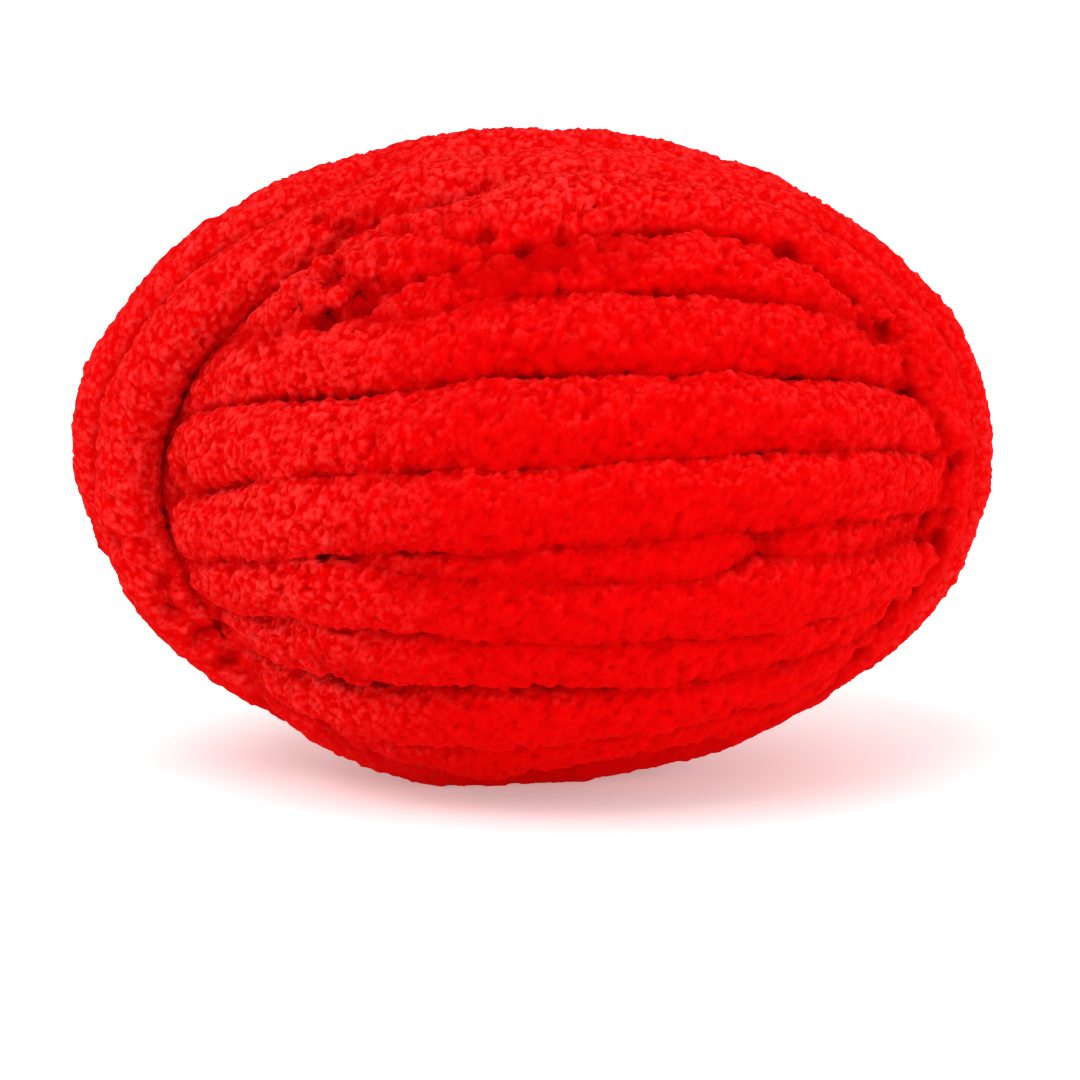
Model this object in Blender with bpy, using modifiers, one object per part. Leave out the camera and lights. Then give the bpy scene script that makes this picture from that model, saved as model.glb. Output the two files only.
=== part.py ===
"""A ball of thick plush yarn, lying on its side, as one solid of its wound turns.

Metres, +Z up. The ball's long axis is X, its front is -Y, and it rests on Z = 0.
Round turns go about the middle like hoops. Over turns cross them, over the top and
under the bottom, and close the ball at its ends, its top and its back. Each turn is
a row of a table: where its centre line runs, how thick it is, and how far it stands
off or sinks into the ball.
"""

import math
from collections import namedtuple

import bmesh
import bpy
from mathutils import Vector

MM = 0.001

# The ball
BALL_NAME = "wound_yarn"
CENTRE_HEIGHT = 82.5 * MM  # the ball's middle above the surface that it rests on
ROUND_HALF = Vector((98.5, 79.5, 77.5)) * MM  # half sizes of the shell of round centre lines
ROUND_SHIFT = Vector((5.5, 0.0, 0.0)) * MM  # the round turns reach further at the right
OVER_HALF = Vector((115.0, 82.0, 76.0)) * MM  # the same for the over turns
OVER_SHIFT = Vector((0.0, 0.0, 8.5)) * MM  # they bulge more at the top
CORE_HALF = Vector((99.0, 77.0, 75.0)) * MM  # the wound inside, up to the turns' middles

# The yarn as it is drawn
POINTS_PER_TURN = 96
CORE_SEGMENTS = 64
CORE_RINGS = 32
MERGE_GRAIN = 1.7 * MM  # how finely neighbouring turns are merged into one body
SOFTENING_ROUNDS = 3  # how far the seams between the turns are softened
MOST_TRIANGLES = 11400
SEAM_WELD = 0.00001
PRESS_DEPTH = 40.0 * MM  # height of the block that trims the flat spot
PRESS_REACH = 300.0 * MM

YARN_COLOUR = (0.86, 0.006, 0.007, 1.0)
YARN_ROUGHNESS = 0.95

# Round turns: height of the centre line above the ball's middle at eight places,
# thickness, and lift off the shell, all in millimetres. Left and right are the ball's
# ends, left_far to right_far cross the front, and back is the middle of the back.
RoundTurn = namedtuple(
    "RoundTurn",
    "left left_far left_near front right_near right_far right back"
    " thick_left thick_front thick_right thick_back"
    " lift_left lift_front lift_right lift_back",
)
ROUND_HEIGHT_ANGLES = (-90, -60, -30, 0, 30, 60, 90, 180)
ROUND_TURNS = (
    RoundTurn(16, 33, 41, 46, 44, 36, 21, 45, 17, 22, 14, 21, 0, 1, -1, 0),
    RoundTurn(7, 15, 23, 25, 25, 20, 11, 27, 15, 21, 17, 21, -1, 0, 0, 1),
    RoundTurn(-10, -6, 2, 6, 8, 4, -3, 9, 18, 20, 19, 20, 0, 0, 1, 0),
    RoundTurn(-12, -13, -12, -9, -7, -10, -14, -8, 13, 17, 13, 21, -6, -1, -3, 1),
    RoundTurn(-23, -22, -22, -23, -22, -20, -21, -24, 16, 18, 18, 20, 0, 0, 0, 0),
    RoundTurn(-36, -39, -38, -36, -37, -36, -33, -40, 15, 17, 15, 20, -2, -1, -5, -6),
    RoundTurn(-48, -55, -57, -54, -48, -45, -43, -55, 16, 19, 16, 19, 0, 2, -5, -9),
    RoundTurn(-58, -64, -70, -70, -64, -59, -56, -66, 15, 18, 15, 18, -1, -2, -3, -9),
)

# Over turns: how far the centre line lies in front of the ball's middle at eight
# places, going from the right end over the top, thickness, and lift, in millimetres.
OverTurn = namedtuple(
    "OverTurn",
    "right top_right top top_left left low_left low low_right"
    " thick_right thick_top thick_left thick_low"
    " lift_right lift_top lift_left lift_low",
)
OVER_DEPTH_ANGLES = (0, 45, 90, 135, 180, 225, 270, 315)
OVER_TURNS = (
    OverTurn(0, 20, 53, 50, 8, 2, 0, 0, 16, 20, 16, 16, -14, -8, -16, -10),
    OverTurn(4, 33, 44, 46, 10, 4, 0, 0, 16, 21, 16, 16, -10, -6, -16, -10),
    OverTurn(13, 19, 41, 42, 8, 8, 16, 10, 18, 24, 16, 20, 0, 0, -13, 8),
    OverTurn(-9, 0, 17, 31, 24, 12, -5, -11, 20, 25, 21, 21, 0, 0, 0, 8),
    OverTurn(-29, -20, -8, 6, 3, -9, -26, -31, 20, 21, 20, 21, 0, 0, 0, 8),
    OverTurn(-47, -40, -30, -15, -18, -30, -46, -50, 20, 22, 20, 21, 2, 0, 0, 5),
    OverTurn(-60, -58, -51, -38, -38, -49, -61, -63, 18, 21, 20, 20, 6, 0, 2, 7),
    OverTurn(-45, -60, -65, -57, -40, -40, -40, -40, 16, 19, 17, 16, -12, -5, -8, -10),
)


def clear_scene():
    for found in list(bpy.data.objects):
        bpy.data.objects.remove(found, do_unlink=True)


def collection_named(name):
    made = bpy.data.collections.new(name)
    bpy.context.scene.collection.children.link(made)
    return made


def yarn_material():
    material = bpy.data.materials.new("plush_yarn")
    material.use_nodes = True
    shader = material.node_tree.nodes["Principled BSDF"]
    shader.inputs["Base Color"].default_value = YARN_COLOUR
    shader.inputs["Roughness"].default_value = YARN_ROUGHNESS
    shader.inputs["Metallic"].default_value = 0.0
    shader.inputs["Sheen Weight"].default_value = 0.4
    return material


def around(angles, values, angle):
    """The value at an angle, on a smooth closed curve through the values at the given angles."""
    count = len(angles)
    angle = angles[0] + (angle - angles[0]) % 360
    knots = list(angles) + [angles[0] + 360]
    index = max(i for i in range(count) if knots[i] <= angle)

    def knot(i):
        return angles[i % count] + 360 * (i // count)

    def slope(i):
        rise = values[(i + 1) % count] - values[(i - 1) % count]
        return rise / (knot(i + 1) - knot(i - 1))

    width = knot(index + 1) - knot(index)
    t = (angle - knot(index)) / width
    start, end = values[index], values[(index + 1) % count]
    bend_out, bend_in = slope(index) * width, slope(index + 1) * width
    return (
        start * (2 * t**3 - 3 * t**2 + 1)
        + bend_out * (t**3 - 2 * t**2 + t)
        + end * (3 * t**2 - 2 * t**3)
        + bend_in * (t**3 - t**2)
    )


def lifted(point, half, lift):
    """The point moved off its shell, along the shell's normal."""
    normal = Vector(point[i] / half[i] ** 2 for i in range(3)).normalized()
    return point + normal * lift


def round_turn_point(turn, degrees):
    """Centre and radius of a round turn at an angle from the front towards the right end."""
    height = around(ROUND_HEIGHT_ANGLES, turn[0:8], degrees) * MM
    thick = around((-90, 0, 90, 180), turn[8:12], degrees) * MM
    lift = around((-90, 0, 90, 180), turn[12:16], degrees) * MM
    level = math.sqrt(1 - (height / ROUND_HALF.z) ** 2)
    angle = math.radians(degrees)
    point = Vector(
        (
            ROUND_HALF.x * level * math.sin(angle),
            -ROUND_HALF.y * level * math.cos(angle),
            height,
        )
    )
    return lifted(point, ROUND_HALF, lift) + ROUND_SHIFT, thick / 2


def over_turn_point(turn, degrees):
    """Centre and radius of an over turn at an angle from the right end towards the top."""
    depth = around(OVER_DEPTH_ANGLES, turn[0:8], degrees) * MM
    thick = around((0, 90, 180, 270), turn[8:12], degrees) * MM
    lift = around((0, 90, 180, 270), turn[12:16], degrees) * MM
    level = math.sqrt(1 - (depth / OVER_HALF.y) ** 2)
    angle = math.radians(degrees)
    point = Vector(
        (
            OVER_HALF.x * level * math.cos(angle),
            -depth,
            OVER_HALF.z * level * math.sin(angle),
        )
    )
    return lifted(point, OVER_HALF, lift) + OVER_SHIFT, thick / 2


def turn_mesh(turn, place):
    """One closed turn of yarn as a mesh, made from a bevelled curve."""
    curve = bpy.data.curves.new("turn", "CURVE")
    curve.dimensions = "3D"
    curve.bevel_depth = 1.0
    curve.bevel_resolution = 3
    spline = curve.splines.new("POLY")
    spline.points.add(POINTS_PER_TURN - 1)
    for number, knot in enumerate(spline.points):
        centre, radius = place(turn, 360 * number / POINTS_PER_TURN)
        knot.co = (*centre, 1.0)
        knot.radius = radius
    spline.use_cyclic_u = True
    route = bpy.data.objects.new("turn", curve)
    bpy.context.scene.collection.objects.link(route)
    graph = bpy.context.evaluated_depsgraph_get()
    mesh = bpy.data.meshes.new_from_object(route.evaluated_get(graph))
    bpy.data.objects.remove(route, do_unlink=True)
    return mesh


def turns_and_core():
    """All turns and the wound inside in one mesh, still overlapping."""
    together = bmesh.new()
    sphere = bmesh.ops.create_uvsphere(
        together, u_segments=CORE_SEGMENTS, v_segments=CORE_RINGS, radius=1.0
    )
    bmesh.ops.scale(together, vec=CORE_HALF, verts=sphere["verts"])
    bmesh.ops.translate(together, vec=ROUND_SHIFT, verts=sphere["verts"])
    for turn in ROUND_TURNS:
        together.from_mesh(turn_mesh(turn, round_turn_point))
    for turn in OVER_TURNS:
        together.from_mesh(turn_mesh(turn, over_turn_point))
    bmesh.ops.remove_doubles(together, verts=together.verts, dist=SEAM_WELD)
    mesh = bpy.data.meshes.new(BALL_NAME)
    together.to_mesh(mesh)
    together.free()
    return mesh


def keep_outer_shell(mesh):
    """Removes the small closed shells that merging leaves between buried turns."""
    body = bmesh.new()
    body.from_mesh(mesh)
    shells = []
    unseen = set(body.verts)
    while unseen:
        start = unseen.pop()
        shell = [start]
        for vertex in shell:
            for edge in vertex.link_edges:
                other = edge.other_vert(vertex)
                if other in unseen:
                    unseen.remove(other)
                    shell.append(other)
        shells.append(shell)
    shells.sort(key=len)
    for shell in shells[:-1]:
        bmesh.ops.delete(body, geom=shell, context="VERTS")
    body.to_mesh(mesh)
    body.free()


def applied(ball):
    """Replaces the object's mesh by what its modifiers make of it."""
    graph = bpy.context.evaluated_depsgraph_get()
    mesh = bpy.data.meshes.new_from_object(ball.evaluated_get(graph))
    ball.modifiers.clear()
    ball.data = mesh


def merge_turns(ball):
    merge = ball.modifiers.new("merge", "REMESH")
    merge.mode = "VOXEL"
    merge.voxel_size = MERGE_GRAIN
    soften = ball.modifiers.new("soften", "SMOOTH")
    soften.factor = 0.5
    soften.iterations = SOFTENING_ROUNDS
    applied(ball)
    keep_outer_shell(ball.data)
    thin = ball.modifiers.new("thin", "DECIMATE")
    thin.ratio = MOST_TRIANGLES / (2 * len(ball.data.polygons))
    applied(ball)


def stand_on_surface(ball):
    """Lifts the ball, centred over the origin, so that its flat spot will lie at Z = 0."""
    corners = [Vector(corner) for corner in ball.bound_box]
    middle = (corners[0] + corners[6]) / 2
    for vertex in ball.data.vertices:
        vertex.co += Vector((-middle.x, -middle.y, CENTRE_HEIGHT))


def press_block(cutters):
    """The block that trims what would reach below the surface."""
    bpy.ops.mesh.primitive_cube_add(size=1.0, location=(0, 0, -PRESS_DEPTH / 2))
    block = bpy.context.active_object
    block.name = "press_block"
    block.scale = (PRESS_REACH, PRESS_REACH, PRESS_DEPTH)
    for holder in list(block.users_collection):
        holder.objects.unlink(block)
    cutters.objects.link(block)
    block.hide_render = True
    block.display_type = "WIRE"
    return block


def press_flat_spot(ball, block):
    flat = ball.modifiers.new("flat_spot", "BOOLEAN")
    flat.operation = "DIFFERENCE"
    flat.solver = "EXACT"
    flat.object = block


def build_ball():
    parts = collection_named("ball_of_yarn")
    cutters = collection_named("cutters")
    cutters.hide_render = True
    ball = bpy.data.objects.new(BALL_NAME, turns_and_core())
    parts.objects.link(ball)
    merge_turns(ball)
    stand_on_surface(ball)
    ball.data.materials.clear()
    ball.data.materials.append(yarn_material())
    press_flat_spot(ball, press_block(cutters))


clear_scene()
build_ball()
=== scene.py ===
import math
from collections import namedtuple

import bpy
import numpy as np
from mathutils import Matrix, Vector, kdtree, noise


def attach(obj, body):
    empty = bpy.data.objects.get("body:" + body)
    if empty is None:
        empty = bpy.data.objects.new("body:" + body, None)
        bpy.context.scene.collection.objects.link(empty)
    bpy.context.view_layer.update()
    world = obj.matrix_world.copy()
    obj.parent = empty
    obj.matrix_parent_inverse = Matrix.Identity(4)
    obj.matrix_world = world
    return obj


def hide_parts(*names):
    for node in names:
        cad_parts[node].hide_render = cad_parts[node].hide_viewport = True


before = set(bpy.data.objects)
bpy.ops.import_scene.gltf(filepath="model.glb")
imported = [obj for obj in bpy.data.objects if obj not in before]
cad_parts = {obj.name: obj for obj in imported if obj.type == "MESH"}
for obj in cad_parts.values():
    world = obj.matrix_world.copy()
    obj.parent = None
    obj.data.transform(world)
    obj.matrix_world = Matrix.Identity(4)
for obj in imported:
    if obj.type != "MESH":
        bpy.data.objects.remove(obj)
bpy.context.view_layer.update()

mm = 0.001
ballNode = "wound_yarn"
ballMiddle = Vector((0.24, -0.77, 82.5)) * mm  # where the strands' tables are measured from

cameraView = {
    "elevation": 10.0,  # degrees that it looks down by
    "distance": 1.3,  # metres from the ball's middle
    "imageSide": 1080,  # pixels
    "metresPerPixel": 0.0002732,  # at the ball's middle
    "middlePixel": (534, 475),  # where the ball's middle shows
    "middleHeight": 82.5 * mm,
    "sensor": 36.0,  # mm wide
}


def makeCamera():
    view = cameraView
    rise = math.radians(view["elevation"])
    middle = Vector((0, 0, view["middleHeight"]))
    back = Vector((0, -math.cos(rise), math.sin(rise)))
    up = Vector((0, math.sin(rise), math.cos(rise)))
    right = (view["imageSide"] / 2 - view["middlePixel"][0]) * view["metresPerPixel"]
    down = (view["imageSide"] / 2 - view["middlePixel"][1]) * view["metresPerPixel"]
    place = middle + back * view["distance"]
    aim = middle + Vector((right, 0, 0)) - up * down
    seenWidth = view["imageSide"] * view["metresPerPixel"]
    bpy.ops.object.camera_add(location=place)
    camera = bpy.context.active_object
    camera.name = "photoCamera"
    camera.data.sensor_width = view["sensor"]
    camera.data.lens = view["sensor"] * view["distance"] / seenWidth
    camera.rotation_euler = (aim - place).to_track_quat("-Z", "Y").to_euler()
    bpy.context.scene.camera = camera


makeCamera()
print("camera placed")

shell = {
    "roundHalf": Vector((97.8, 78.9, 76.9)),  # centre lines of the round strands, mm
    "roundShift": Vector((5.5, 0, 0)),
    "overHalf": Vector((113.3, 81.2, 73.9)),  # centre lines of the strands over them
    "overShift": Vector((0.6, 0, 8.5)),
}

# a round strand runs about the ball like a hoop: heights, thicknesses and lifts in mm at its stations
RoundStrand = namedtuple(
    "RoundStrand",
    "left leftFar leftNear front rightNear rightFar right back"
    " thickLeft thickFront thickRight thickBack"
    " liftLeft liftFront liftRight liftBack",
)
roundAngles = (-90, -60, -30, 0, 30, 60, 90, 180)  # degrees from the front, for the heights
roundQuarters = (-90, 0, 90, 180)  # and for the thicknesses and lifts
roundStrands = {
    "band_1": RoundStrand(19, 34.5, 41, 46, 44.5, 40, 28, 45, 19, 22, 17, 21, 0, 0, 0, 0),
    "band_2": RoundStrand(6.5, 14.5, 22.5, 25.5, 25.5, 20.5, 11, 27, 19, 21, 17, 21, -1, 0, 0, 1),
    "band_3": RoundStrand(-10, -6, 2, 6, 8, 5.5, 0, 9, 18, 20, 16, 20, 0, 0, 1, 0),
    "band_4": RoundStrand(-12, -13, -13, -8.5, -5.5, -7, -10, -8, 13, 17, 14, 21, -6, -1, -3, 1),
    "band_5": RoundStrand(-22, -20, -19, -20, -20, -18, -18, -24, 16, 18, 18, 20, 0, 0, 0, 0),
    "band_6": RoundStrand(-34, -36, -35, -33, -35, -34, -32, -40, 15, 17, 15, 20, -2, -1, -5, -6),
    "band_7": RoundStrand(-46, -51, -52, -50, -46.5, -43, -41, -54, 16, 18, 16, 19, 0, 1, -5, -9),
    "band_8": RoundStrand(-57, -62, -66.5, -61, -55.5, -52, -51, -64, 16, 17, 15, 18, -1, 0, -3, -9),
}

# an over strand runs over the ball's top and under it: how far in front of the middle it lies
OverStrand = namedtuple(
    "OverStrand",
    "right topRight top topLeft left lowLeft low lowRight"
    " thickRight thickTop thickLeft thickLow"
    " liftRight liftTop liftLeft liftLow",
)
overAngles = (0, 45, 90, 135, 180, 225, 270, 315)  # degrees from the right over the top
overQuarters = (0, 90, 180, 270)
overStrands = {
    "tuck_3": OverStrand(0, 30, 56, 53, 20, 4, 0, 0, 16, 18, 16, 16, -16, -4, -20, -10),
    "tuck_2": OverStrand(4, 36, 56, 55, 12, 4, 0, 0, 16, 18, 15, 16, -5, -3, -20, -10),
    "tuck_1": OverStrand(12, 20, 39.5, 43, 14, 12, 10, 8, 17, 22, 17, 20, -3, 0, -16.5, 6.5),
    "arch_2": OverStrand(-8, 4, 18, 21.5, 17, 8, -7, -11, 19, 20.5, 17, 21, 1, -0.5, -2, 7.5),
    "arch_1": OverStrand(-30, -16, -6, 3, 1, -12, -28, -32, 20, 20, 20, 21, 1, 1.5, 2, 8),
    "back_1": OverStrand(-48, -38, -29, -20, -21, -32, -47, -50, 20, 22, 20, 21, 2, 0, 0, 5),
    "back_2": OverStrand(-60, -57, -50, -38, -38, -49, -61, -63, 18, 21, 20, 20, 6, 0, 2, 7),
    "back_3": OverStrand(-45, -60, -64, -57, -40, -40, -40, -40, 16, 22, 17, 16, -12, -4, -8, -10),
}

# where a strand departs from its even course: over how many degrees, and by how much in mm
Swell = namedtuple("Swell", "strand angle width shift thick lift")
swells = (
    Swell("tuck_1", 156, 17, 0, 4.5, -8),  # dives under arch_2
    Swell("tuck_1", 52, 20, 0, -2, 0),
    Swell("tuck_1", 93, 13, 2.5, 0.5, 0),
    Swell("tuck_1", 122, 16, 0, -1, 1),
    Swell("tuck_1", 247, 20, 0, 2, 6.0),  # leans on the floor
    Swell("tuck_2", 128, 24, 0, 0, -8),  # dives under tuck_1
    Swell("tuck_2", 160, 24, 0, 0, -8),
    Swell("tuck_2", 10, 26, 0, 0, -15),
    Swell("tuck_3", 155, 22, 0, 0, -12),
    Swell("tuck_3", 15, 30, 0, 0, -12),
    Swell("arch_2", 337, 25, 0, 0, 3),
    Swell("arch_2", 208, 22, 0, 0, 3),
    Swell("arch_1", 330, 22, 0, 0, 1.5),
    Swell("band_4", -46, 16, 0, -2.5, -3),  # starts between its neighbours
    Swell("band_4", 31, 5, -2, -5, -4),  # where two lengths lie over each other
    Swell("band_4", 62, 14, -2, 0, 1),
)

# a short length that shows between two strands and dives at both ends
ShortStrand = namedtuple("ShortStrand", "start end heightStart heightMiddle heightEnd thick lift")
shortStrands = {
    "sliver_1": ShortStrand(-46, -3, 6.5, 12.0, 15.5, 8.5, 1.5),
    "sliver_2": ShortStrand(-24, 4, -56, -56.5, -58, 7, 2.0),
    "sliver_3": ShortStrand(-47, -30, -36.5, -39.5, -43, 7, 3.0),
}

weave = {
    "samples": 360,  # points that a route is worked out at
    "shortSamples": 60,
    "fineStep": 0.80 * mm,  # ring spacing where a strand shows in front
    "plainStep": 1.10 * mm,  # and elsewhere
    "outerArc": 112.0,  # degrees from outwards over which a section is fine
    "outerSides": 40,
    "innerSides": 9,
    "squareness": 2.2,  # 2 is a round section
    "flatness": 0.90,  # height of a section over its width
    "plumpness": 1.16,  # how far the strands press into each other
    "seed": 1,
    "strandSeed": (3.7, 1.3, -1.9),  # how far apart the strands read the unevenness
    "wanderLength": 45.0 * mm,  # how a strand strays sideways from its even course
    "wander": 1.6 * mm,
    "wobbleLength": 15.0 * mm,  # and how it trembles
    "wobble": 1.4 * mm,
    "thickLength": 22.5 * mm,  # and how its thickness changes
    "thickChange": 0.12,
    "frontEdge": 0.5,  # how fine the rings are where a strand turns out of the front
    "frontSlope": 2.5,  # and how soon they're as fine as they get
    "weldGap": 0.001 * mm,
}


def smoothAround(angles, values, at):
    # a smooth closed curve through the values, read at an angle in degrees
    count = len(angles)
    at = angles[0] + (at - angles[0]) % 360
    knots = [angles[-1] - 360] + [angles[i % count] + 360 * (i // count) for i in range(count + 2)]
    held = [values[-1]] + [values[i % count] for i in range(count + 2)]
    i = max(k for k in range(1, count + 1) if knots[k] <= at)
    width = knots[i + 1] - knots[i]
    along = (at - knots[i]) / width
    slopeIn = (held[i + 1] - held[i - 1]) / (knots[i + 1] - knots[i - 1]) * width
    slopeOut = (held[i + 2] - held[i]) / (knots[i + 2] - knots[i]) * width
    return (
        held[i] * (2 * along**3 - 3 * along**2 + 1)
        + slopeIn * (along**3 - 2 * along**2 + along)
        + held[i + 1] * (3 * along**2 - 2 * along**3)
        + slopeOut * (along**3 - along**2)
    )


def swollen(name, degrees):
    # what a strand's swells add at an angle to its course, thickness and lift
    shift = thick = lift = 0.0
    for swell in swells:
        if swell.strand == name:
            apart = (degrees - swell.angle + 180) % 360 - 180
            share = math.exp(-((apart / swell.width) ** 2))
            shift += swell.shift * share
            thick += swell.thick * share
            lift += swell.lift * share
    return shift, thick, lift


def lifted(point, half, lift):
    # a point raised off an ellipsoid, and the way outwards there
    normal = Vector(point[i] / half[i] ** 2 for i in range(3)).normalized()
    return point + normal * lift, normal


def roundPoint(degrees, height, lift):
    half = shell["roundHalf"]
    level = math.sqrt(1 - (height / half.z) ** 2)
    turn = math.radians(degrees)
    point = Vector((half.x * level * math.sin(turn), -half.y * level * math.cos(turn), height))
    point, normal = lifted(point, half, lift)
    return point + shell["roundShift"], normal


def overPoint(degrees, depth, lift):
    half = shell["overHalf"]
    level = math.sqrt(1 - (depth / half.y) ** 2)
    turn = math.radians(degrees)
    point = Vector((half.x * level * math.cos(turn), -depth, half.z * level * math.sin(turn)))
    point, normal = lifted(point, half, lift)
    return point + shell["overShift"], normal


def loopPlaces(name, strand, angles, quarters, pointAt):
    # points, outward directions and radii around a closed strand, in mm
    courses = strand[: len(angles)]
    thicks = strand[len(angles) : len(angles) + len(quarters)]
    lifts = strand[len(angles) + len(quarters) :]
    places = []
    for i in range(weave["samples"]):
        degrees = 360 * i / weave["samples"]
        shift, thick, lift = swollen(name, degrees)
        course = smoothAround(angles, courses, degrees) + shift
        thick += smoothAround(quarters, thicks, degrees)
        lift += smoothAround(quarters, lifts, degrees)
        places.append((*pointAt(degrees, course, lift), thick / 2))
    return places


def shortPlaces(strand):
    # the same along a short strand, whose ends narrow and dive
    places = []
    for along in np.linspace(0, 1, weave["shortSamples"]):
        away = abs(2 * along - 1)  # 0 at its middle, 1 at its ends
        height = (
            strand.heightStart * (1 - along) * (1 - 2 * along)
            + strand.heightMiddle * 4 * along * (1 - along)
            + strand.heightEnd * along * (2 * along - 1)
        )
        degrees = strand.start + (strand.end - strand.start) * along
        lift = strand.lift - strand.thick * away**4
        narrow = math.sqrt(max(0.0, 1 - away**3))
        places.append((*roundPoint(degrees, height, lift), strand.thick / 2 * narrow))
    return places


def routeOf(places, number):
    # centre line, outward directions and radii as arrays in metres, with a strand's unevenness
    seedX, seedY, seedZ = weave["strandSeed"]
    seed = Vector((number * seedX, seedY, number * seedZ))
    centres = np.array([ballMiddle + point * mm for point, _, _ in places])
    outward = np.array([normal for _, normal, _ in places])
    radii = np.array([radius * mm for _, _, radius in places]) * weave["plumpness"]
    stray = [noise.noise_vector(Vector(centre) / weave["wanderLength"] + seed) for centre in centres]
    tremble = [noise.noise_vector(Vector(centre) / weave["wobbleLength"] - seed) for centre in centres]
    stray = np.array(stray) * weave["wander"] + np.array(tremble) * weave["wobble"]
    centres = centres + stray - outward * np.sum(stray * outward, axis=1, keepdims=True)
    uneven = [noise.noise(Vector(centre) / weave["thickLength"] - seed) for centre in centres]
    return centres, outward, radii * (1 + weave["thickChange"] * np.array(uneven))


def ringPlaces(centres, step, closed):
    # where along the route the rings go, closer together where step is small
    if closed:
        centres = np.concatenate([centres, centres[:1]])
        step = np.concatenate([step, step[:1]])
    gaps = np.linalg.norm(np.diff(centres, axis=0), axis=1)
    along = np.concatenate([[0], np.cumsum(gaps * 2 / (step[1:] + step[:-1]))])
    rings = int(math.ceil(along[-1]))
    wanted = np.linspace(0, along[-1], rings, endpoint=not closed)
    return np.interp(wanted, along, np.arange(len(along)))


def readAt(values, places):
    # values along a route, read between its samples
    held = np.concatenate([values, values[:1]])
    if held.ndim == 1:
        return np.interp(places, np.arange(len(held)), held)
    return np.stack([np.interp(places, np.arange(len(held)), column) for column in held.T], 1)


def unit(vectors):
    return vectors / np.linalg.norm(vectors, axis=1, keepdims=True)


def sectionAngles():
    # fine on the side that shows, coarse on the side that lies in the ball
    arc = weave["outerArc"]
    outer = np.linspace(-arc, arc, weave["outerSides"])
    inner = np.linspace(arc, 360 - arc, weave["innerSides"] + 2)[1:-1]
    return np.radians(np.concatenate([outer, inner]))


def rounded(values):
    # sine or cosine values bent towards a fuller section
    return np.sign(values) * np.abs(values) ** (2 / weave["squareness"])


def pointsOf(strand):
    points = np.empty(len(strand.data.vertices) * 3, np.float32)
    strand.data.vertices.foreach_get("co", points)
    return points.reshape(-1, 3).astype(float)


def normalsOf(strand):
    normals = np.empty(len(strand.data.vertices) * 3, np.float32)
    strand.data.vertices.foreach_get("normal", normals)
    return normals.reshape(-1, 3)


def movePoints(strand, points):
    strand.data.vertices.foreach_set("co", points.astype(np.float32).ravel())
    strand.data.update()


def strandPoints(route, step, closed):
    # a row for each angle of the section and a column for each ring; where it closes, the last
    # repeats the first
    centres, outward, radii = route
    angles = sectionAngles()
    places = ringPlaces(centres, step, closed)
    middle = readAt(centres, places)
    travel = np.gradient(middle, axis=0)
    if closed:
        travel = np.roll(middle, -1, axis=0) - np.roll(middle, 1, axis=0)
    travel = unit(travel)
    out = readAt(outward, places)
    out = unit(out - travel * np.sum(out * travel, axis=1, keepdims=True))
    side = np.cross(out, travel)
    radius = readAt(radii, places)
    across = rounded(np.sin(angles))[:, None] * radius
    height = rounded(np.cos(angles))[:, None] * radius * weave["flatness"]
    points = middle + out * height[:, :, None] + side * across[:, :, None]
    points = np.concatenate([points, points[:1]], axis=0)
    if closed:
        points = np.concatenate([points, points[:, :1]], axis=1)
    return points


def addStrand(name, points):
    # a flat grid rolled up along the route and merged where its borders meet
    rows, columns = points.shape[:2]
    bpy.ops.object.select_all(action="DESELECT")
    bpy.ops.mesh.primitive_grid_add(x_subdivisions=columns - 1, y_subdivisions=rows - 1)
    strand = bpy.context.active_object
    strand.name = name
    movePoints(strand, points)
    bpy.ops.object.mode_set(mode="EDIT")
    bpy.ops.mesh.select_all(action="SELECT")
    bpy.ops.mesh.remove_doubles(threshold=weave["weldGap"])
    bpy.ops.object.mode_set(mode="OBJECT")
    return strand


pile = {
    "lumpSize": 9.0 * mm,  # unevenness of a strand's thickness
    "lumpHeight": 2.6 * mm,
    "clumpSize": 3.2 * mm,  # soft creases across it
    "clumpHeight": 2.7 * mm,
    "clumpShare": 0.5,  # how much of it counts in the painted highlights and the painted crease shade
    "rumpleSize": 6.5 * mm,  # loose curls where the yarn is rumpled
    "rumpleHeight": 9.0 * mm,
    "rumpleEdge": (1.0, 0.4),  # shares of a rumple's radius between which it gets its full strength
    "rumpleMiddle": 0.3,  # 0.5 pushes out as much as in, less pushes in more
    "tuftSize": 2.1 * mm,  # rounded tufts with creases between them
    "tuftHeight": 1.35 * mm,
    "tuftMiddle": 0.35,  # the same for the tufts
    "curlSize": 1.3 * mm,  # curled ends of the fibres
    "curlHeight": 1.5 * mm,
    "evenMiddle": 0.5,  # and for the rest of the relief
    "least": 0.55,  # how far the pile stands where it's combed
    "calmFrom": (-45, -15),  # mm, from the front, over which the relief calms towards the outline
    "calm": 0.42,  # the share of it that goes there
    "weightSteps": 10,
    "openRoom": 3.5 * mm,  # further than this from the next strand no painted shade falls
}

# where the pile stands up: full at the left and over the top, combed flat in front; the same share is
# painted light, lighter where the pile faces up and darker where it faces down
fluffAndPaintedLightLook = {
    "combed": 0.05,
    "rightEnd": 0.26,
    "left": (-5, -75),  # mm across over which it rises
    "right": (60, 95),
    "top": (150, 168),  # mm above the floor over which it rises
    "back": (-20, 10),
    "under": (-0.8, -0.1),  # upward share of the normal over which the painted shade on pile that faces down gives way
    "underLeft": 0.3,
    # painted light on pile that faces up
    "upward": (0.15, 0.8),
    "paintedTopLightGain": 0.40,
    "patchSize": 30.0,  # mm
    "patchChange": 0.25,
}

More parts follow.
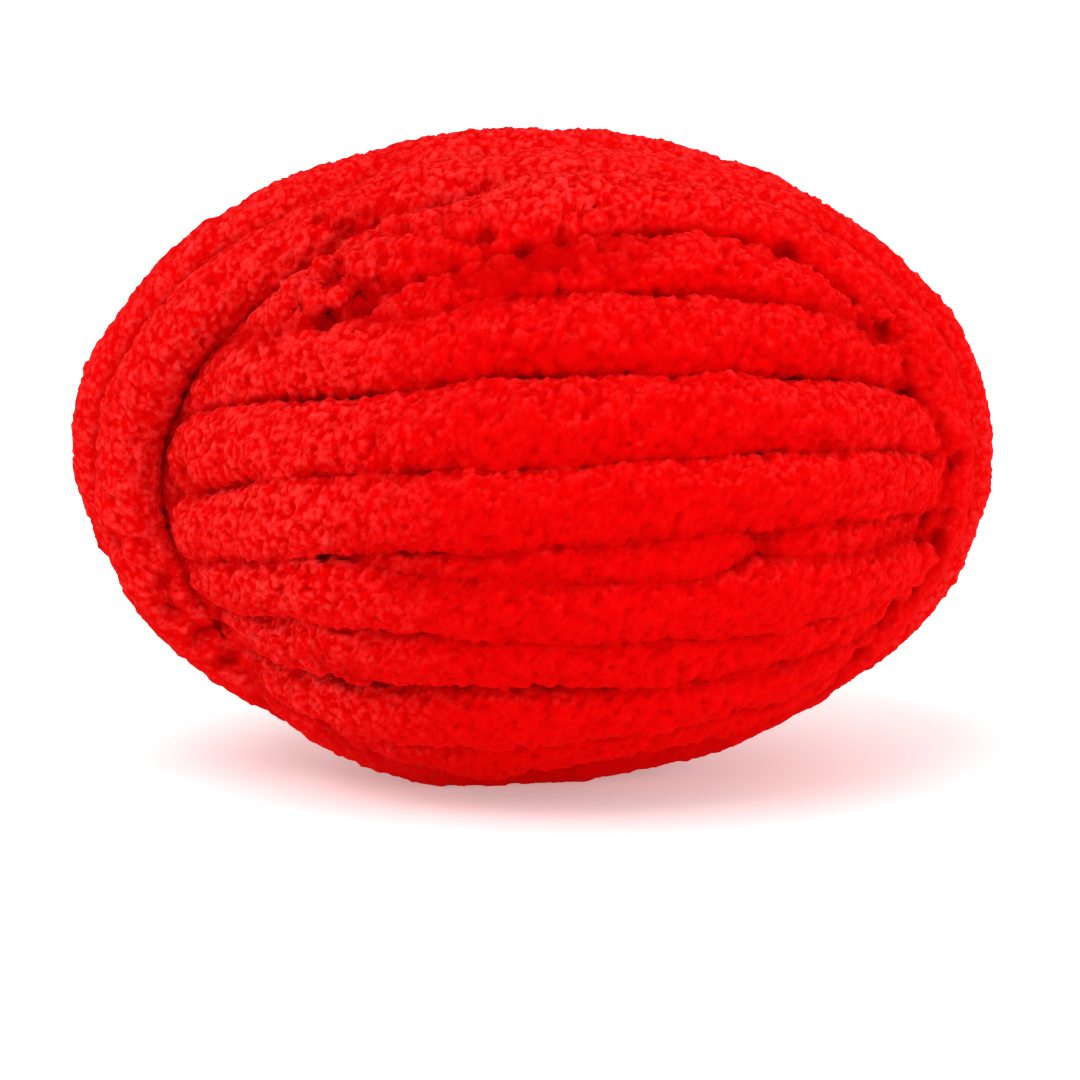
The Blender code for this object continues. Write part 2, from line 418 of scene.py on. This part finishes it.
# balls of space, in mm, in which the yarn is rumpled into loose curls
Rumple = namedtuple("Rumple", "x y z radius strength")
rumples = (
    Rumple(-61, -51, 140, 14, 1.0),
    Rumple(-51, -48, 144, 14, 1.0),
    Rumple(-38, -51, 152, 14, 0.9),
    Rumple(-26, -52, 155, 13, 0.7),
    Rumple(-8, -55, 155, 14, 0.7),
    Rumple(12, -53, 157, 14, 0.5),
    Rumple(-30, -58, 143, 11, 0.5),
    Rumple(-14, -62, 145, 12, 0.5),
    Rumple(5, -62, 146, 12, 0.5),
    Rumple(-50, -31, 157, 12, 0.6),
    Rumple(93, -28, 128, 12, 0.7),
    Rumple(103, -25, 115, 12, 0.5),
    Rumple(111, -24, 93, 13, 0.7),
    Rumple(108, -25, 71, 13, 0.8),
    Rumple(100, -25, 54, 12, 0.7),
    Rumple(90, -22, 42, 12, 0.7),
    Rumple(-99, -26, 54, 12, 0.7),
    Rumple(-86, -24, 42, 13, 0.7),
)

# small pits in the yarn
Pit = namedtuple("Pit", "x y z radius depth")
pits = (
    Pit(-54, -48, 145, 5.0, 4.5),
    Pit(-45, -54, 138, 5.5, 5.0),
    Pit(-54, -53, 133, 5.0, 4.5),
    Pit(-52, -32, 155, 3.5, 2.5),
    Pit(-17, -56, 153, 3.5, 3.0),
    Pit(66, -34, 147, 4.5, 3.5),
    Pit(86, -32, 128, 4.0, 3.0),
    Pit(93, -26, 128, 3.5, 3.0),
    Pit(109, -21, 68, 6.0, 4.0),
    Pit(113, -19, 90, 4.0, 3.0),
    Pit(-36, -81, 90, 3.0, 2.5),
    Pit(14, -85, 113, 3.0, 2.0),
    Pit(29, -84, 111, 2.5, 1.5),
    Pit(27, -85, 108, 3.0, 1.5),
    Pit(48, -79, 104, 3.0, 1.5),
    Pit(60, -72, 103, 2.5, 1.5),
    Pit(76, -63, 105, 2.5, 1.5),
    Pit(75, -63, 101, 3.0, 1.5),
    Pit(67, -71, 82, 2.5, 1.2),
    Pit(10, -75, 133, 2.5, 1.5),
    Pit(12, -75, 130, 2.5, 1.5),
    Pit(14, -75, 127, 2.5, 1.5),
    Pit(-26, -74, 122, 2.2, 1.2),
    Pit(-24, -73, 119, 2.2, 1.2),
    Pit(-99, -33, 85, 10.0, 8.0),
    Pit(-97, -38, 92, 6.5, 4.0),
    Pit(-113, -21, 68, 5.0, 4.0),
    Pit(-90, -21, 41, 5.0, 4.0),
    Pit(-84, -18, 35, 5.0, 4.0),
)


def pileTexture(name, kind, size, **settings):
    texture = bpy.data.textures.new(name, kind)
    texture.noise_scale = size
    for setting, value in settings.items():
        setattr(texture, setting, value)
    return texture


def pileTextures():
    domes = {"distance_metric": "DISTANCE_SQUARED"}
    return {
        "lumps": pileTexture("lumps", "CLOUDS", pile["lumpSize"], noise_depth=1),
        "clumps": pileTexture("clumps", "CLOUDS", pile["clumpSize"], noise_depth=1),
        "rumples": pileTexture("rumples", "VORONOI", pile["rumpleSize"], **domes),
        "tufts": pileTexture("tufts", "VORONOI", pile["tuftSize"], **domes),
        "curls": pileTexture("curls", "CLOUDS", pile["curlSize"], noise_depth=0),
    }


def push(piece, texture, strength, middle, group=None):
    # moves the surface along its normals by the texture; the piece is the active object
    made = piece.modifiers.new(texture.name, "DISPLACE")
    made.texture = texture
    made.texture_coords = "LOCAL"
    made.strength = strength
    made.mid_level = middle
    if group:
        made.vertex_group = group
    bpy.ops.object.modifier_apply(modifier=made.name)


def risen(values, span):
    # 0 at the span's start, 1 at its end, smooth between
    share = np.clip((values - span[0]) / (span[1] - span[0]), 0, 1)
    return share * share * (3 - 2 * share)


def fluffAndPaintedLightAt(points, normals):
    # 1 where the pile stands up, 0 where it lies flat; also painted light, higher where the pile faces
    # up and lower where it faces down
    look = fluffAndPaintedLightLook
    x, y, z = (points / mm).T
    share = look["combed"] + (look["rightEnd"] - look["combed"]) * risen(x, look["right"])
    share = np.maximum(share, risen(x, look["left"]))
    share = np.maximum(share, risen(z, look["top"]))
    share = np.maximum(share, risen(y, look["back"]))
    # painted shade and light: pile facing down keeps only part of its share and is painted darker,
    # pile facing up gains share and is painted lighter
    share *= look["underLeft"] + (1 - look["underLeft"]) * risen(normals[:, 2], look["under"])
    share += look["paintedTopLightGain"] * risen(normals[:, 2], look["upward"]) * (1 - share)
    patches = [noise.noise(Vector(point) / (look["patchSize"] * mm)) for point in points]
    return np.clip(share * (1 + look["patchChange"] * np.array(patches)), 0.0, 1.0)


def rumpleAt(points):
    share = np.zeros(len(points))
    for rumple in rumples:
        middle = np.array((rumple.x, rumple.y, rumple.z)) * mm
        apart = np.linalg.norm(points - middle, axis=1) / (rumple.radius * mm)
        share = np.maximum(share, rumple.strength * risen(apart, pile["rumpleEdge"]))
    return share


def pitted(points, normals):
    # the points pushed in where the pits are, and how deep each went
    depth = np.zeros(len(points))
    for pit in pits:
        middle = np.array((pit.x, pit.y, pit.z)) * mm
        apart = np.linalg.norm(points - middle, axis=1) / (pit.radius * mm)
        depth += pit.depth * mm * np.clip(1 - apart**2, 0, 1) ** 2
    return points - normals * depth[:, None], depth


def addGroup(strand, name, weights):
    # a vertex group whose weights go in steps
    group = strand.vertex_groups.new(name=name)
    steps = np.rint(weights * pile["weightSteps"]).astype(int)
    for step in range(1, pile["weightSteps"] + 1):
        members = np.nonzero(steps == step)[0].tolist()
        if members:
            group.add(members, step / pile["weightSteps"], "REPLACE")
    return name


def writeAttribute(strand, name, values):
    made = strand.data.attributes.new(name, "FLOAT", "POINT")
    made.data.foreach_set("value", values.astype(np.float32))


def stepsFor(name, facing):
    # rings are closest together where facing, a cosine, says that the strand shows in front
    seen = np.clip(weave["frontEdge"] + facing * weave["frontSlope"], 0, 1)
    if name.startswith("back"):
        seen = np.zeros(len(facing))
    return weave["plainStep"] + (weave["fineStep"] - weave["plainStep"]) * seen


def allRoutes():
    # every strand's route, ring spacing and whether it is a closed loop
    noise.seed_set(weave["seed"])
    turn = np.arange(weave["samples"]) * math.tau / weave["samples"]
    routes = {}
    for name, strand in roundStrands.items():
        places = loopPlaces(name, strand, roundAngles, roundQuarters, roundPoint)
        routes[name] = (routeOf(places, len(routes)), stepsFor(name, np.cos(turn)), True)
    for name, strand in overStrands.items():
        places = loopPlaces(name, strand, overAngles, overQuarters, overPoint)
        routes[name] = (routeOf(places, len(routes)), stepsFor(name, np.sin(turn)), True)
    for name, strand in shortStrands.items():
        step = np.full(weave["shortSamples"], weave["fineStep"])
        routes[name] = (routeOf(shortPlaces(strand), len(routes)), step, False)
    return routes


def roomAt(points, own, routes):
    # how far each point is from the surfaces of the other strands
    others = [route for name, (route, _, _) in routes.items() if name != own]
    radii = np.concatenate([route[2] for route in others])
    centres = np.concatenate([route[0] for route in others])
    tree = kdtree.KDTree(len(centres))
    for index, point in enumerate(centres):
        tree.insert(point, index)
    tree.balance()
    room = np.empty(len(points))
    for index, point in enumerate(points):
        _, found, distance = tree.find(point)
        room[index] = distance - radii[found]
    return room


def growPile(strand, textures):
    # raises the pile, keeps its height and how far it stands up and is painted lit, and hands back how
    # deep it's pressed in, which gets painted shade
    calm = 1 - pile["calm"] * risen(pointsOf(strand)[:, 1] / mm, pile["calmFrom"])
    calmGroup = addGroup(strand, "calm", calm)
    push(strand, textures["lumps"], pile["lumpHeight"], pile["evenMiddle"], calmGroup)
    even = pointsOf(strand)
    normals = normalsOf(strand)
    push(strand, textures["clumps"], pile["clumpHeight"], pile["evenMiddle"], calmGroup)
    before = pointsOf(strand)
    clumped = np.sum((before - even) * normals, axis=1)
    normals = normalsOf(strand)
    rumple = addGroup(strand, "rumple", rumpleAt(before))
    push(strand, textures["rumples"], -pile["rumpleHeight"], pile["rumpleMiddle"], rumple)
    sunk = -np.sum((pointsOf(strand) - before) * normals, axis=1)
    points, depth = pitted(pointsOf(strand), normals)
    depth += np.maximum(sunk, 0.0)
    movePoints(strand, points)
    normals = normalsOf(strand)
    fluffAndPaintedLight = fluffAndPaintedLightAt(points, normals)
    stands = pile["least"] + (1 - pile["least"]) * fluffAndPaintedLight
    standing = addGroup(strand, "standing", stands * calm)
    push(strand, textures["tufts"], -pile["tuftHeight"], pile["tuftMiddle"], standing)
    push(strand, textures["curls"], pile["curlHeight"], pile["evenMiddle"], standing)
    rise = np.sum((pointsOf(strand) - points) * normals, axis=1)
    writeAttribute(strand, "pile", (rise + pile["clumpShare"] * clumped) / mm)
    writeAttribute(strand, "fluffAndPaintedLight", fluffAndPaintedLight)
    return depth


def finishPiece(piece, material):
    # hands a shaped piece to the frame and counts its triangles
    piece.data.shade_smooth()
    piece.data.materials.clear()
    piece.data.materials.append(material)
    piece.data.uv_layers[0].name = "OFBake"
    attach(piece, "root")
    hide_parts(ballNode)
    return len(piece.data.loops) - 2 * len(piece.data.polygons)


# the yarn further in, which closes the chinks between the strands
innerYarn = {
    "half": (98.5, 76.5, 74.0),  # mm
    "shift": Vector((4, 0, 2)),
    "segments": 96,
    "rings": 48,
    "lumpHeight": 3.0 * mm,
    "lumpMiddle": 0.5,
}


def buildInnerYarn(material, textures):
    inner = innerYarn
    bpy.ops.object.select_all(action="DESELECT")
    bpy.ops.mesh.primitive_uv_sphere_add(
        segments=inner["segments"], ring_count=inner["rings"], radius=mm
    )
    piece = bpy.context.active_object
    piece.name = "inner_yarn"
    piece.scale = inner["half"]
    piece.location = ballMiddle + inner["shift"] * mm
    bpy.ops.object.transform_apply(location=True, rotation=False, scale=True)
    push(piece, textures["lumps"], inner["lumpHeight"], inner["lumpMiddle"])
    print(piece.name, finishPiece(piece, material), "triangles")


def buildStrands(material, textures):
    routes = allRoutes()
    total = 0
    for name, (route, step, closed) in routes.items():
        strand = addStrand(name, strandPoints(route, step, closed))
        depth = growPile(strand, textures)
        points = pointsOf(strand)
        # painted shade: the room to the next strand, less how deep a pit or rumple pressed the yarn
        # in, darkens the colour
        room = np.minimum(roomAt(points, name, routes), pile["openRoom"]) - depth
        writeAttribute(strand, "room", room / mm)
        points[:, 2] = np.maximum(points[:, 2], 0.0)  # none goes under the floor
        movePoints(strand, points)
        strand.vertex_groups.clear()
        count = finishPiece(strand, material)
        total += count
        print(name, count, "triangles")
    print("all strands", total, "triangles")


class Value:
    # a socket that takes part in Python expressions
    def __init__(self, tree, socket):
        self.tree = tree
        self.socket = socket

    def node(self, kind, settings=None, values=None):
        made = self.tree.nodes.new(kind)
        for name, value in (settings or {}).items():
            setattr(made, name, value)
        for name, value in (values or {}).items():
            socket = made.inputs[name]
            if isinstance(value, Value):
                self.tree.links.new(value.socket, socket)
            else:
                socket.default_value = value
        return made

    def output(self, made, name=0):
        return Value(self.tree, made.outputs[name])

    def maths(self, operation, *values, clamp=False):
        settings = {"operation": operation, "use_clamp": clamp}
        return self.output(self.node("ShaderNodeMath", settings, dict(enumerate(values))))

    def __add__(self, other):
        return self.maths("ADD", self, other)

    def __sub__(self, other):
        return self.maths("SUBTRACT", self, other)

    def __rsub__(self, other):
        return self.maths("SUBTRACT", other, self)

    def __mul__(self, other):
        return self.maths("MULTIPLY", self, other)

    __radd__ = __add__
    __rmul__ = __mul__

    def clamped(self):
        return self.maths("ADD", self, 0.0, clamp=True)


yarnLook = {
    "deep": (0.49, 0.0003, 0.0006, 1),  # painted shade between the strands and in pits
    "combed": (0.64, 0.0003, 0.0005, 1),  # where the pile lies flat, and where facing down it is painted in shade
    "fluffyPaintedLight": (0.68, 0.0008, 0.0010, 1),  # the creases between tufts where the pile stands up, painted lighter as if lit from above
    "tipHighlight": (0.81, 0.036, 0.034, 1),  # painted highlight on the ends of the pile
    "warpScale": 300.0,
    "warp": 0.6 * mm,  # that the curls' pattern is warped by
    "curlScale": 560.0,
    "curlDetail": 1.0,
    "cellScale": 480.0,  # round ends of the fibres
    "cellShare": 0.5,  # of them in the curls
    "fineScale": 1300.0,
    "fineDetail": 2.0,
    "curlGain": 2.0,  # how much the curls, the pile's height and the fine pattern add to the painted highlights on the pile's ends
    "pileGain": 0.6,
    "fineGain": 0.8,
    "highlightStart": 1.24,
    "creaseShadeStart": 0.9,  # painted shade: creases in the pile are painted darker than its crests
    "creaseShadeSlope": 0.8,
    "curlBump": 1.6,
    "fineBump": 0.5,
    "combedBump": 0.3,  # the share of the bump that stays where the pile lies flat
    "gapShadeStart": 0.27,
    "gapShadeSlope": 0.24,  # each mm: the painted shade fades, and a strand is at full colour about 3 mm from the next
    "bumpDistance": 0.6 * mm,
    "bumpStrength": 0.55,
    "roughness": 0.92,
    "sheen": 0.02,
    "sheenRoughness": 0.6,
    "sheenTint": (1.0, 0.12, 0.10, 1),
    "specular": 0.008,
}


def yarnMaterial():
    look = yarnLook
    material = bpy.data.materials.new("plushYarn")
    material.use_nodes = True
    tree = material.node_tree
    tree.nodes.clear()
    place = Value(tree, tree.nodes.new("ShaderNodeTexCoord").outputs["Object"])

    def attribute(name):
        return place.output(place.node("ShaderNodeAttribute", {"attribute_name": name}), "Fac")

    def pattern(at, scale, detail, name="Fac"):
        values = {"Vector": at, "Scale": scale, "Detail": detail}
        return place.output(place.node("ShaderNodeTexNoise", values=values), name)

    def mix(factor, low, high):
        # a colour mix has its colours at its inputs 6 and 7, and its result at its output 2
        made = place.node("ShaderNodeMix", {"data_type": "RGBA"}, {0: factor, 6: low, 7: high})
        return place.output(made, 2)

    warp = pattern(place, look["warpScale"], look["curlDetail"], "Color")
    warped = place.output(
        place.node(
            "ShaderNodeVectorMath",
            {"operation": "MULTIPLY_ADD"},
            {0: warp, 1: (look["warp"],) * 3, 2: place},
        )
    )
    cells = place.node("ShaderNodeTexVoronoi", values={"Vector": warped, "Scale": look["cellScale"]})
    ends = 1.0 - place.output(cells, "Distance")
    curls = pattern(warped, look["curlScale"], look["curlDetail"])
    curls = curls * (1 - look["cellShare"]) + ends * look["cellShare"]
    fine = pattern(warped, look["fineScale"], look["fineDetail"])
    fluffAndPaintedLight = attribute("fluffAndPaintedLight")
    rise = attribute("pile")
    # painted highlight on the pile's raised ends, strongest where the pile stands up and is painted
    # lit
    tipHighlights = curls * look["curlGain"] + rise * look["pileGain"] + fine * look["fineGain"]
    tipHighlights = ((tipHighlights - look["highlightStart"]) * fluffAndPaintedLight).clamped()
    # painted shade in the pile's creases, from its height
    creaseShade = (rise * look["creaseShadeSlope"] + look["creaseShadeStart"]).clamped()
    # painted shade between the strands and in pits, towards the deep colour
    space = (attribute("room") * look["gapShadeSlope"] + look["gapShadeStart"]).clamped()
    # painted light: the body is lighter where the pile stands up and faces up
    body = mix(fluffAndPaintedLight, look["combed"], look["fluffyPaintedLight"])
    colour = mix(space * creaseShade, look["deep"], mix(tipHighlights, body, look["tipHighlight"]))
    stands = fluffAndPaintedLight * (1 - look["combedBump"]) + look["combedBump"]
    bump = place.node(
        "ShaderNodeBump",
        values={
            "Height": (curls * look["curlBump"] + fine * look["fineBump"]) * stands,
            "Strength": look["bumpStrength"],
            "Distance": look["bumpDistance"],
        },
    )
    shader = place.node(
        "ShaderNodeBsdfPrincipled",
        values={
            "Base Color": colour,
            "Normal": place.output(bump),
            "Roughness": look["roughness"],
            "Specular IOR Level": look["specular"],
            "Sheen Weight": look["sheen"],
            "Sheen Roughness": look["sheenRoughness"],
            "Sheen Tint": look["sheenTint"],
        },
    )
    place.node("ShaderNodeOutputMaterial", values={"Surface": place.output(shader)})
    return material


plushYarn = yarnMaterial()
pileRelief = pileTextures()
buildInnerYarn(plushYarn, pileRelief)
buildStrands(plushYarn, pileRelief)

stageLook = {
    "floorSize": 30.0,
    "floorDrop": 0.1 * mm,  # under the ball's flat spot
    "floorColour": (0.88, 0.88, 0.88, 1),
    "floorGlow": 0.26,  # lit from below, as a light table is
    "floorRoughness": 0.9,
    "floorShine": 0.0,
    "white": (1.0, 1.0, 1.0, 1),
    "skyStrength": 0.86,
}

# soft lights: where each shines from, how wide it looks in degrees, and its strength
SoftSun = namedtuple("SoftSun", "toward angle strength")
softSuns = {
    "keySun": SoftSun((-0.30, -0.42, 0.86), 44.0, 1.35),
    "fillSun": SoftSun((-0.60, -0.78, 0.12), 60.0, 0.35),
    "sideSun": SoftSun((0.93, -0.30, 0.20), 40.0, 1.25),
}


def makeStage():
    look = stageLook
    bpy.ops.object.select_all(action="DESELECT")
    bpy.ops.mesh.primitive_plane_add(size=look["floorSize"], location=(0, 0, -look["floorDrop"]))
    floor = bpy.context.active_object
    floor.name = "paleFloor"
    material = bpy.data.materials.new("paleFloor")
    material.use_nodes = True
    shader = material.node_tree.nodes["Principled BSDF"]
    shader.inputs["Base Color"].default_value = look["floorColour"]
    shader.inputs["Roughness"].default_value = look["floorRoughness"]
    shader.inputs["Specular IOR Level"].default_value = look["floorShine"]
    shader.inputs["Emission Color"].default_value = look["white"]
    shader.inputs["Emission Strength"].default_value = look["floorGlow"]
    floor.data.materials.append(material)
    world = bpy.data.worlds.new("softSky")
    world.use_nodes = True
    sky = world.node_tree.nodes["Background"]
    sky.inputs["Color"].default_value = look["white"]
    sky.inputs["Strength"].default_value = look["skyStrength"]
    bpy.context.scene.world = world
    for name, sun in softSuns.items():
        bpy.ops.object.light_add(type="SUN", location=sun.toward)
        light = bpy.context.active_object
        light.name = name
        light.data.angle = math.radians(sun.angle)
        light.data.energy = sun.strength
        light.rotation_euler = (-Vector(sun.toward)).to_track_quat("-Z", "Y").to_euler()
    bpy.context.scene.view_settings.view_transform = "Standard"


makeStage()
print("floor and light placed")

bpy.context.view_layer.update()
